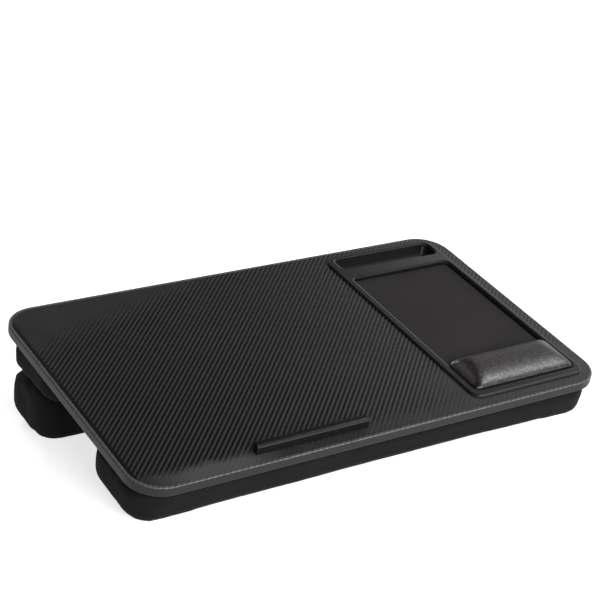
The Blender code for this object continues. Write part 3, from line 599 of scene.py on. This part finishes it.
# How far its low and its high edge are drawn in, and from which y
EDGE_SINK = {"front_cushion": (0.0, 0.0030, -1.0), "rear_cushion": (-0.0020, 0.0, 0.060),
             "booster": (0.0, 0.0040, 0.060)}
EDGE_WIDTH, EDGE_RAMP = 0.0050, 0.040

# The booster's high rear edge droops towards both ends
BOOSTER_DROOP, DROOP_WIDTH = 0.0120, 0.0160
DROOP_Y, DROOP_Y_RAMP = 0.096, 0.030
DROOP_X, DROOP_X_RAMP = 0.180, 0.060

CUSHION_WAVE = 0.0005
LONG_WAVES, SHORT_WAVES = (22.0, 2.0), (70.0, 1.5)

# Soft folds: start, end, width and depth
CREASES = {
    "front_cushion": [((-0.2620, -0.1440, -0.0120), (-0.2300, -0.1440, -0.0280), 0.0030, 0.0016),
                      ((-0.2645, -0.1350, -0.0150), (-0.2645, -0.0900, -0.0210), 0.0040, 0.0008)],
    "rear_cushion": [((-0.2645, 0.0450, -0.0190), (-0.2645, 0.0900, -0.0240), 0.0050, 0.0007)],
    "booster": [((-0.2645, 0.0480, -0.0430), (-0.2645, 0.0850, -0.0500), 0.0050, 0.0010),
                ((-0.2500, 0.0460, -0.0430), (-0.2250, 0.0460, -0.0500), 0.0040, 0.0010)],
}


def simulate(piece, cap):
    """Blows the cloth up, limits how far each point moves, and leaves a plain mesh."""
    scene = bpy.context.scene
    modifier = piece.modifiers.new("cloth", "CLOTH")
    settings = modifier.settings
    settings.quality = CLOTH_QUALITY
    settings.mass = CLOTH_MASS
    settings.tension_stiffness = CLOTH_STRETCH
    settings.compression_stiffness = CLOTH_STRETCH
    settings.shear_stiffness = CLOTH_SHEAR
    settings.bending_stiffness = CLOTH_BEND
    settings.use_pressure = True
    settings.uniform_pressure_force = CLOTH_PRESSURE
    settings.effector_weights.gravity = 0
    modifier.point_cache.frame_start = 1
    modifier.point_cache.frame_end = CLOTH_STEPS
    rest = read_values(piece.data, "co")
    for step in range(1, CLOTH_STEPS + 1):
        scene.frame_set(step)
    graph = bpy.context.evaluated_depsgraph_get()
    blown = read_values(piece.evaluated_get(graph).data, "co")
    piece.modifiers.remove(modifier)
    scene.frame_set(1)
    move = blown - rest
    length = np.linalg.norm(move, axis=1, keepdims=True)
    move *= np.minimum(1.0, cap / np.maximum(length, 1e-9))
    write_points(piece.data, rest + move)


def way_to_cover(node, points, puff, aside, ahead):
    """The move that takes each point to the outer skin of a CAD cover, and a little past it."""
    mesh = NODES[node].data
    middle = sum((vertex.co for vertex in mesh.vertices), Vector()) / len(mesh.vertices)
    outer = [face for face in mesh.polygons if face.normal.dot(face.center - middle) > 0]
    skin = BVHTree.FromPolygons([vertex.co for vertex in mesh.vertices], [tuple(face.vertices) for face in outer])
    moves = np.zeros((len(points), 3))
    for i, (point, proud, right, front) in enumerate(zip(points, puff, aside, ahead)):
        place, normal, index, distance = skin.find_nearest(Vector(point), COVER_SEARCH)
        if place is not None:
            share = min(1.0, (COVER_SEARCH - distance) / COVER_SEARCH * COVER_HOLD)
            proud += right * max(0.0, normal.x) + front * max(0.0, -normal.y)
            moves[i] = (place + normal * proud - Vector(point)) * share
    return moves


def even_out(mesh, values, rounds):
    """Averages values with those of the neighbouring points."""
    ends = np.zeros(len(mesh.edges) * 2, np.int32)
    mesh.edges.foreach_get("vertices", ends)
    first, second = ends.reshape(-1, 2).T
    count = len(values)
    near = np.bincount(first, minlength=count) + np.bincount(second, minlength=count)
    near = np.maximum(near, 1)
    for turn in range(rounds):
        total = np.stack([np.bincount(first, column[second], count) + np.bincount(second, column[first], count)
                          for column in values.T], axis=1)
        values = (values + total / near[:, None]) / 2
    return values


def waves(points, scale, stretch):
    """A smooth field over the points, from about -1 to 1, drawn out along x."""
    return np.array([field.noise(Vector((x * scale / stretch, y * scale, z * scale))) for x, y, z in points])


def fold(points, start, end, width, depth):
    """How far each point of a surface sinks into a soft fold between two places."""
    start, end = np.array(start), np.array(end)
    run = end - start
    share = np.clip(((points - start) @ run) / (run @ run), 0, 1)
    away = np.linalg.norm(points - start - share[:, None] * run, axis=1)
    return depth * np.sin(np.pi * share) * np.exp(-(away / width) ** 2)


def fit_to_cover(piece, name, low, high, lies_on_cushion):
    """Draws the blown cloth to its CAD cover, less so where it meets the board or another cushion."""
    world = read_values(piece.data, "co")
    height = to_frame(world, TO_BOARD)[:, 2]
    inward = np.clip((height - low + FREE_BELOW) / FREE_RAMP, 0 if lies_on_cushion else 1, 1)
    inward *= np.clip((high - height - FREE_ABOVE) / FREE_RAMP, 0, 1)
    puff, aside, ahead, ahead_right = CUSHION_PUFF[name]
    moves = way_to_cover(name + "_cover", world, puff * inward, aside * inward,
                         (ahead + ahead_right * world[:, 0]) * inward)
    write_points(piece.data, world + even_out(piece.data, moves, COVER_ROUNDS))


def crease_and_settle(piece, name, low, high, lies_on_cushion):
    """Gives the cloth its waves, folds and soft edges, and flattens it where it rests."""
    points = to_frame(read_values(piece.data, "co"), TO_BOARD)
    normals = read_values(piece.data, "normal") @ np.array(TO_BOARD.to_3x3()).T
    sink = CUSHION_WAVE * waves(points, *LONG_WAVES) + CUSHION_WAVE / 2 * waves(points, *SHORT_WAVES)
    for crease in CREASES[name]:
        sink += fold(points, *crease)
    low_sink, high_sink, from_y = EDGE_SINK[name]
    side = np.hypot(normals[:, 0], normals[:, 1]) * np.clip((points[:, 1] - from_y) / EDGE_RAMP, 0, 1)
    for level, depth in ((low, low_sink), (high, high_sink)):
        sink += depth * side * np.exp(-((points[:, 2] - level) / EDGE_WIDTH) ** 2)
    points -= normals * sink[:, None]
    points[:, 2] = np.minimum(points[:, 2], high)
    points[:, 2] = np.maximum(points[:, 2], low - (0.0 if lies_on_cushion else FREE_BELOW))
    if name == "booster":
        rear = np.clip((points[:, 1] - DROOP_Y) / DROOP_Y_RAMP, 0, 1)
        ends = np.clip((np.abs(points[:, 0]) - DROOP_X) / DROOP_X_RAMP, 0, 1)
        points[:, 2] -= BOOSTER_DROOP * (rear * ends) * np.exp(-((points[:, 2] - high) / DROOP_WIDTH) ** 2)
    world = to_frame(points, BOARD)
    world[:, 2] = np.maximum(world[:, 2], 0.0)
    write_points(piece.data, world)


def build_cushion(name, body, lies_on_cushion):
    """A bolster: its foam blown up under cloth, fitted to its cover, then creased."""
    low, high = (corner.z for corner in board_box(name + "_cover"))
    mesh = NODES[name + "_foam"].data.copy()
    mesh.materials.clear()
    piece = place_object(name + "_cloth", mesh)
    modifier = piece.modifiers.new("remesh", "REMESH")
    modifier.mode = "VOXEL"
    modifier.voxel_size = CUSHION_VOXEL
    apply_modifiers(piece)
    simulate(piece, CUSHION_SWELL)
    modifier = piece.modifiers.new("smooth", "SUBSURF")
    modifier.levels = modifier.render_levels = 1
    apply_modifiers(piece)
    fit_to_cover(piece, name, low, high, lies_on_cushion)
    crease_and_settle(piece, name, low, high, lies_on_cushion)
    piece.data.shade_smooth()
    piece.data.materials.append(FABRIC)
    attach(piece, body)
    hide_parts(name + "_cover", name + "_top_panel", name + "_foam")


build_cushion("front_cushion", "desk", lies_on_cushion=False)
build_cushion("rear_cushion", "desk", lies_on_cushion=True)
build_cushion("booster", "booster", lies_on_cushion=False)


# Wrist rest: a taut skin over gel, steeper at the rear

WRIST_EDGE = 0.0022
WRIST_CREST_SHIFT = 0.0075
WRIST_END_SHARE = 0.80
WRIST_STRAIGHT_SHARE = 0.4
WRIST_ROUND_SHARE = 0.15
WRIST_FOOT_RADIUS = 0.0065
WRIST_RIDGE_HALF_WIDTH = 0.0010
WRIST_UNDER_SHARE, WRIST_UNDER_ROUND, WRIST_SKIRT = 0.012, 0.0006, 0.001


def build_wrist_rest():
    low, high = board_box("wrist_rest_cover")
    middle = (low + high) / 2
    half_width = (high.x - low.x) / 2
    half_depth = (high.y - low.y) / 2
    run = half_depth - WRIST_RIDGE_HALF_WIDTH
    heights = [(WRIST_UNDER_SHARE, 0.0, low.z), (0.0, 0.0, low.z + WRIST_UNDER_ROUND),
               (0.0, 0.0, WRIST_EDGE - WRIST_SKIRT)]
    heights += [(inward, rise, WRIST_EDGE + (high.z - WRIST_EDGE) * rise)
                for inward, rise in quarter_round(steps=16)]
    bm = bmesh.new()
    rings = []
    for share, rise, z in heights:
        climb = run * share
        slope = run * (share + (rise - share) * WRIST_STRAIGHT_SHARE) * WRIST_END_SHARE
        points = outline(half_width - slope, half_depth - climb, WRIST_FOOT_RADIUS + climb * WRIST_ROUND_SHARE,
                         corner_steps=8, x_steps=24, y_steps=64)
        rings.append([(middle.x + x, middle.y + y + WRIST_CREST_SHIFT * share, z) for x, y in points])
    loft(bm, rings)
    piece = add_piece("wrist_rest_skin", bm, SKIN, "desk")
    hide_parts("wrist_rest_cover", "wrist_rest_gel")


build_wrist_rest()


# Mouse pad, lining and closure strips: flat soft pieces in the place of CAD slabs

SLAB_FOOT_SHARE, SLAB_LEAST_RADIUS = 0.5, 0.0005


def build_slab(name, node, material, body, corner, round_edge):
    """A flat soft piece with softly rounded edges, its corners rounded by the radius given."""
    low, high = board_box(node)
    middle = (low + high) / 2
    half_width, half_depth = (high.x - low.x) / 2, (high.y - low.y) / 2
    heights = [(round_edge, low.z), (0.0, low.z + round_edge * SLAB_FOOT_SHARE)]
    heights += [(round_edge * inward, high.z - round_edge * (1 - rise))
                for inward, rise in quarter_round(steps=4)]
    bm = bmesh.new()
    rings = []
    for inset, z in heights:
        points = outline(half_width - inset, half_depth - inset, max(corner - inset, SLAB_LEAST_RADIUS),
                         corner_steps=6, x_steps=24, y_steps=24)
        rings.append([(middle.x + x, middle.y + y, z) for x, y in points])
    loft(bm, rings)
    piece = add_piece(name, bm, material, body)
    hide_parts(node)
    return piece


pad = build_slab("mouse_pad_cloth", "mouse_pad", PAD, "desk", corner=0.002, round_edge=0.0006)
lining = build_slab("underside_lining_cloth", "underside_fabric", LINING, "desk", corner=0.029,
                    round_edge=0.0003)
for strip, strip_body, carrier in (("hook_strip_left", "desk", "rear_cushion_cloth"),
                                   ("hook_strip_right", "desk", "rear_cushion_cloth"),
                                   ("loop_strip_left", "booster", "booster_cloth"),
                                   ("loop_strip_right", "booster", "booster_cloth")):
    tape = build_slab(strip + "_tape", strip, CLOSURE, strip_body, corner=0.003,
                      round_edge=0.0002)


# Hinge tape

HINGE_THICKNESS = 0.0007
HINGE_LEAF_STEPS, HINGE_ARC_STEPS, HINGE_RUN_STEPS = 8, 12, 80


def build_hinge_tape():
    """A woven tape folded once along the hinge, one leaf on each cushion."""
    low, high = board_box("hinge_tape")
    middle_z = (low.z + high.z) / 2
    outer = (high.z - low.z) / 2
    axis_y = low.y + outer
    radius = outer - HINGE_THICKNESS / 2
    line = [(high.y, middle_z + radius)]
    for step in range(1, HINGE_LEAF_STEPS + 1):
        line.append((high.y + (axis_y - high.y) * step / HINGE_LEAF_STEPS, middle_z + radius))
    for step in range(1, HINGE_ARC_STEPS + 1):
        angle = math.pi / 2 + math.pi * step / HINGE_ARC_STEPS
        line.append((axis_y + radius * math.cos(angle), middle_z + radius * math.sin(angle)))
    for step in range(1, HINGE_LEAF_STEPS + 1):
        line.append((axis_y + (high.y - axis_y) * step / HINGE_LEAF_STEPS, middle_z - radius))
    sides = []
    for i, (y, z) in enumerate(line):
        before, after = line[max(i - 1, 0)], line[min(i + 1, len(line) - 1)]
        way = Vector((after[0] - before[0], after[1] - before[1])).normalized()
        offset = Vector((-way.y, way.x)) * HINGE_THICKNESS / 2
        sides.append(((y + offset.x, z + offset.y), (y - offset.x, z - offset.y)))
    section = [side[0] for side in sides] + [side[1] for side in reversed(sides)]
    bm = bmesh.new()
    rings = []
    for step in range(HINGE_RUN_STEPS + 1):
        x = low.x + (high.x - low.x) * step / HINGE_RUN_STEPS
        rings.append([(x, y, z) for y, z in section])
    loft(bm, rings)
    piece = add_piece("hinge_tape_cloth", bm, FABRIC, None)
    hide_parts("hinge_tape")
    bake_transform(piece)


build_hinge_tape()


# Camera at the photograph's angle, solved from the board's corners

CAMERA_PLACE = Vector((-0.8491, -1.0858, 0.8604))
CAMERA_RIGHT = Vector((0.836, -0.5276, 0.1505))
CAMERA_DOWN = Vector((-0.165, -0.5034, -0.8482))
CAMERA_AHEAD = Vector((0.5233, 0.6843, -0.5079))
CAMERA_SENSOR, CAMERA_LENS = 36.0, 96.953
CAMERA_SHIFT = (-0.00111, 0.00438)
CAMERA_FAR = 50.0


def build_camera():
    data = bpy.data.cameras.new("camera")
    camera = place_object("camera", data)
    axes = Matrix((CAMERA_RIGHT, -CAMERA_DOWN, -CAMERA_AHEAD)).transposed().to_4x4()
    camera.matrix_world = BOARD @ Matrix.Translation(CAMERA_PLACE) @ axes
    data.sensor_width = CAMERA_SENSOR
    data.lens = CAMERA_LENS
    data.shift_x, data.shift_y = CAMERA_SHIFT
    data.clip_end = CAMERA_FAR
    bpy.context.scene.camera = camera


# Floor, world and lamps

FLOOR_HALF, FLOOR_CELLS = 6.0, 24
FLOOR_DARK, FLOOR_LIGHT = (0.64, 0.64, 0.64), (0.66, 0.66, 0.66)
FLOOR_REACH, FLOOR_GLOW = (0.7, 2.2), (0.74, 1.0)

# The sky by direction: the height where it turns dark, then how it dims to the left and to the rear left
SKY_EDGE, SKY_TOP = (0.592, 0.648), 0.03
SKY_LEFT, SKY_LEFT_LIGHT = (-0.7, 0.1), 0.45
SKY_ASIDE_X, SKY_ASIDE_Y = 0.69, 0.72
SKY_REAR_LEFT, SKY_REAR_LIGHT = (-0.035, 0.015), 0.30

# Name, place, aim, size and watts
LAMPS = (("right_lamp", (1.30, -0.58, 1.74), (0.18, -0.12, 0.08), (1.0, 0.8), 25),
         ("rear_lamp", (-0.10, 2.0, 1.85), (0.2, 0, 0.08), (0.6, 0.35), 16),
         ("front_lamp", (-0.2, -2.4, 1.0), (0, 0, 0.05), (1.6, 1.0), 60))


def shown_ray(tree):
    """1 for rays from the camera, or seen in gloss or through glass."""
    path = tree.nodes.new("ShaderNodeLightPath")
    total = calc(tree, "ADD", path.outputs["Is Camera Ray"], path.outputs["Is Glossy Ray"])
    return calc(tree, "ADD", total, path.outputs["Is Transmission Ray"], clamp=True)


def build_floor():
    """A pale floor that shows white, its glow making up for the lamps' fall-off, and keeps the shadow."""
    bm = bmesh.new()
    bmesh.ops.create_grid(bm, x_segments=FLOOR_CELLS, y_segments=FLOOR_CELLS, size=FLOOR_HALF)
    mesh = bpy.data.meshes.new("floor")
    bm.to_mesh(mesh)
    bm.free()
    floor = place_object("floor", mesh)
    material, tree, shader = new_material("floor", Roughness=0.9, Specular_IOR_Level=0.1,
                                          Emission_Color=(1, 1, 1, 1))
    source = tree.nodes.new("ShaderNodeTexCoord")
    clouds = noise(tree, source.outputs["Object"], 3.0, 2.0)
    feed(tree, shader.inputs["Base Color"], blend_colour(tree, clouds, FLOOR_DARK, FLOOR_LIGHT))
    reach = tree.nodes.new("ShaderNodeVectorMath")
    reach.operation = "LENGTH"
    tree.links.new(source.outputs["Object"], reach.inputs[0])
    glow = spread(tree, reach.outputs["Value"], *FLOOR_REACH, *FLOOR_GLOW)
    feed(tree, shader.inputs["Emission Strength"], calc(tree, "MULTIPLY", shown_ray(tree), glow))
    mesh.materials.append(material)


def build_world():
    """White where the camera sees it. Its light comes from low down, less of it from the left and rear."""
    world = bpy.data.worlds.new("studio")
    bpy.context.scene.world = world
    world.use_nodes = True
    tree = world.node_tree
    background = tree.nodes["Background"]
    path = tree.nodes.new("ShaderNodeLightPath")
    source = tree.nodes.new("ShaderNodeTexCoord")
    x, y, z = split(tree, source.outputs["Generated"])
    sky = spread(tree, z, *SKY_EDGE, 1.0, SKY_TOP)
    sky = calc(tree, "MULTIPLY", sky, spread(tree, x, *SKY_LEFT, SKY_LEFT_LIGHT, 1.0))
    aside = calc(tree, "SUBTRACT", calc(tree, "MULTIPLY", x, SKY_ASIDE_X), calc(tree, "MULTIPLY", y, SKY_ASIDE_Y))
    sky = calc(tree, "MULTIPLY", sky, spread(tree, aside, *SKY_REAR_LEFT, SKY_REAR_LIGHT, 1.0))
    background.inputs["Color"].default_value = (1, 1, 1, 1)
    feed(tree, background.inputs["Strength"], mix_value(tree, path.outputs["Is Camera Ray"], sky, 1.0))


def add_lamp(name, place, target, size, watts):
    data = bpy.data.lights.new(name, "AREA")
    data.shape = "RECTANGLE"
    data.size, data.size_y = size
    data.energy = watts
    lamp = place_object(name, data)
    lamp.location = place
    lamp.rotation_euler = (Vector(target) - Vector(place)).to_track_quat("-Z", "Y").to_euler()


build_camera()
build_floor()
build_world()
for lamp_values in LAMPS:
    add_lamp(*lamp_values)

bpy.context.scene.view_settings.view_transform = "Standard"
